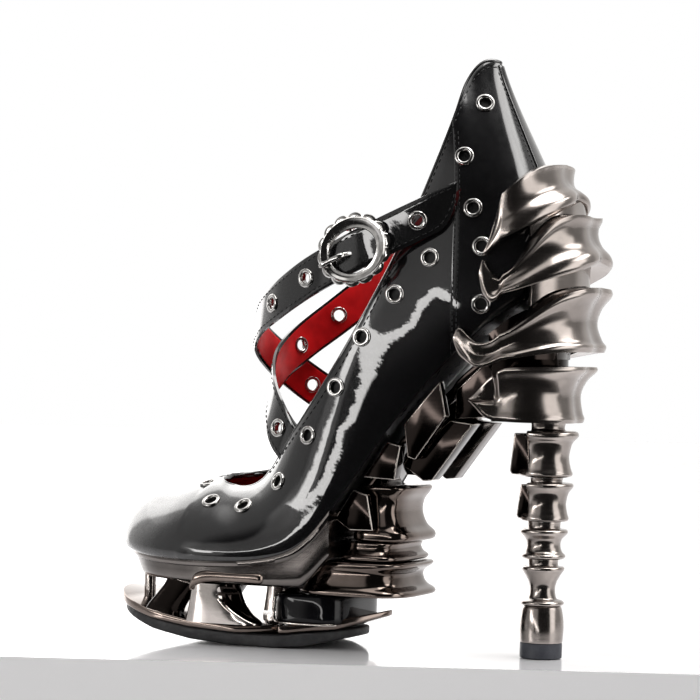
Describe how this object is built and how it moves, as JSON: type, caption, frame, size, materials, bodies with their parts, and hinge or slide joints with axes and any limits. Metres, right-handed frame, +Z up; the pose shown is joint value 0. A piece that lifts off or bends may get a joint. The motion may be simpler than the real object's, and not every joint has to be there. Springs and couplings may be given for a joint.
{
  "type": "high-heel platform shoe",
  "caption": "Left high-heel platform shoe: black patent upper with eyelets and crossing buckled straps, chrome platform, and a heel of stacked plates and spools.",
  "frame": {"origin": "middle of the bounding box on the floor plane, under the arch", "axes": "-X toward the toe, +X toward the heel, -Y toward the outer (buckle) side, +Z up"},
  "size_m": [0.2218, 0.0914, 0.2499],
  "materials": {
    "patent_upper": "black patent leather, mirror gloss, faint creases, stitched edges",
    "patent_strap": "black patent leather straps with stitched edges and a red lining side",
    "red_lining": "satin red lining with a fine grain",
    "board": "pressed fibre insole board",
    "steel": "plain steel",
    "nickel": "bright nickel plate",
    "gunmetal_chrome": "warm gunmetal plating, partly brushed, with bright edges",
    "dark_chrome": "dark gunmetal plating, mirror polished facets with bright edges",
    "black_gloss": "deep gloss black moulding",
    "rubber": "matt black rubber, lightly scuffed"
  },
  "bodies": {
    "shoe": {"vamp": "patent_upper", "quarter_outer": "patent_upper", "quarter_inner": "patent_upper", "heel_counter": "patent_upper", "lining": "red_lining", "insole_board": "board", "sock": "red_lining", "steel_shank": "steel", "strap_a": "patent_strap", "strap_b": "patent_strap", "strap_anchor": "patent_strap", "eyelets_vamp": "nickel", "eyelets_quarter_outer": "nickel", "eyelets_quarter_inner": "nickel", "eyelets_counter": "nickel", "eyelets_strap_a": "nickel", "eyelets_strap_b": "nickel", "platform_deck": "gunmetal_chrome", "front_strut_outer": "gunmetal_chrome", "front_strut_inner": "gunmetal_chrome", "mid_strut_outer": "gunmetal_chrome", "mid_strut_inner": "gunmetal_chrome", "toe_posts": "gunmetal_chrome", "base_plate": "gunmetal_chrome", "core_block": "black_gloss", "rear_flange_lower": "gunmetal_chrome", "rear_flange_upper": "gunmetal_chrome", "arch_vertebra": "dark_chrome", "outsole": "rubber", "arch_fairing": "dark_chrome", "arch_block_lower": "dark_chrome", "arch_block_middle": "dark_chrome", "arch_block_upper": "dark_chrome", "arch_bar_outer": "dark_chrome", "arch_bar_inner": "dark_chrome", "arch_link": "dark_chrome", "heel_core": "gunmetal_chrome", "heel_rod": "steel", "heel_plate_1": "gunmetal_chrome", "heel_plate_2": "gunmetal_chrome", "heel_plate_3": "gunmetal_chrome", "heel_plate_4": "gunmetal_chrome", "heel_neck_upper": "gunmetal_chrome", "heel_neck_lower": "gunmetal_chrome", "fin_vertebra_upper": "gunmetal_chrome", "fin_vertebra_lower": "gunmetal_chrome", "spool_upper": "gunmetal_chrome", "spool_lower": "gunmetal_chrome", "heel_barrel": "gunmetal_chrome", "top_lift": "rubber", "seat_screws": "steel"},
    "buckle": {"buckle_frame": "nickel", "buckle_bar": "nickel"},
    "prong": {"buckle_prong": "nickel"}
  },
  "joints": [
    {"name": "buckle_hinge", "type": "hinge", "parent": "shoe", "child": "buckle", "pos_m": [0.014, -0.037, 0.168], "axis": [-0.4534, 0.0238, 0.891], "range_deg": [-6, 6]},
    {"name": "prong_hinge", "type": "hinge", "parent": "buckle", "child": "prong", "pos_m": [0.014, -0.037, 0.168], "axis": [-0.4534, 0.0238, 0.891], "range_deg": [0, 75]}
  ]
}
